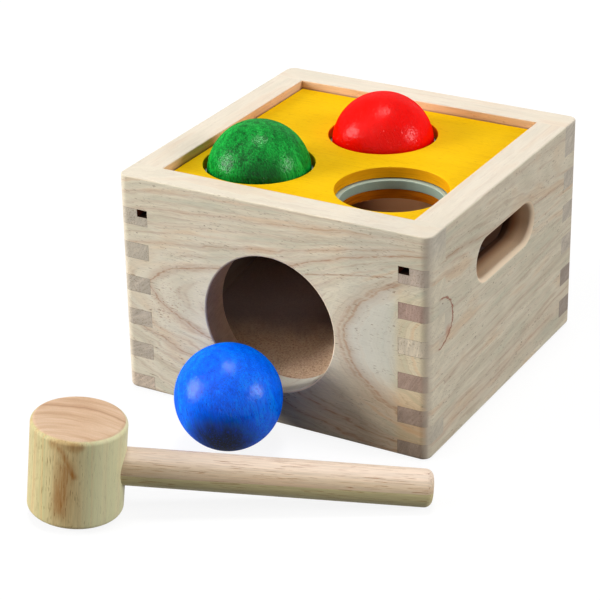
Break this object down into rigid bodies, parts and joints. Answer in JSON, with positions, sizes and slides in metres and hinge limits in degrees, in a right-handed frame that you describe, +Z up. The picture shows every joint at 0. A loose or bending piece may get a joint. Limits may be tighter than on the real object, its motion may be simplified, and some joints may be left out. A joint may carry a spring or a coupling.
{
  "type": "ball pounding bench",
  "caption": "Open wooden box with finger-jointed corners, a sunken yellow plate whose rubber-lined holes grip balls, an exit hole with a ramp behind it, hand slots and a mallet.",
  "frame": {"origin": "on the table, in the middle of the box's footprint", "axes": "+Z up, -Y towards the face with the round exit hole, +X to the right when that face is seen"},
  "size_m": [0.1761, 0.2825, 0.1228],
  "materials": {
    "pale_wood": "sanded rubberwood under a thin clear satin coat",
    "yellow_stain": "yellow-stained plywood, satin",
    "plain_ply": "unfinished plywood",
    "ring_rubber": "matte grey-green rubber",
    "zinc_steel": "zinc-plated steel",
    "hardboard": "smooth brown hardboard",
    "green_stain": "green-stained wood, satin",
    "red_stain": "red-stained wood, satin",
    "blue_stain": "blue-stained wood, satin",
    "mallet_wood": "sanded rubberwood under a thin clear satin coat"
  },
  "bodies": {
    "box": {"front_panel": "pale_wood", "back_panel": "pale_wood", "left_panel": "pale_wood", "right_panel": "pale_wood", "lower_plate": "yellow_stain", "ring_frame": "plain_ply", "top_plate": "yellow_stain", "front_left_ring": "ring_rubber", "front_right_ring": "ring_rubber", "back_ring": "ring_rubber", "plate_screws": "zinc_steel", "ramp_board": "hardboard"},
    "green_ball": {"green_ball": "green_stain"},
    "red_ball": {"red_ball": "red_stain"},
    "blue_ball": {"blue_ball": "blue_stain"},
    "mallet": {"mallet_head": "mallet_wood", "mallet_handle": "mallet_wood"}
  },
  "joints": [
    {"name": "green_ball_drop", "type": "slide", "parent": "box", "child": "green_ball", "axis": [0, 0, -1], "range_m": [-0.06, 0.0517]},
    {"name": "red_ball_drop", "type": "slide", "parent": "box", "child": "red_ball", "axis": [0, 0, -1], "range_m": [-0.06, 0.0422]},
    {"name": "blue_ball_lift", "type": "slide", "parent": "box", "child": "blue_ball", "axis": [0, 0, 1], "range_m": [0, 0.12]},
    {"name": "mallet_lift", "type": "slide", "parent": "box", "child": "mallet", "axis": [0, 0, 1], "range_m": [0, 0.15]}
  ]
}
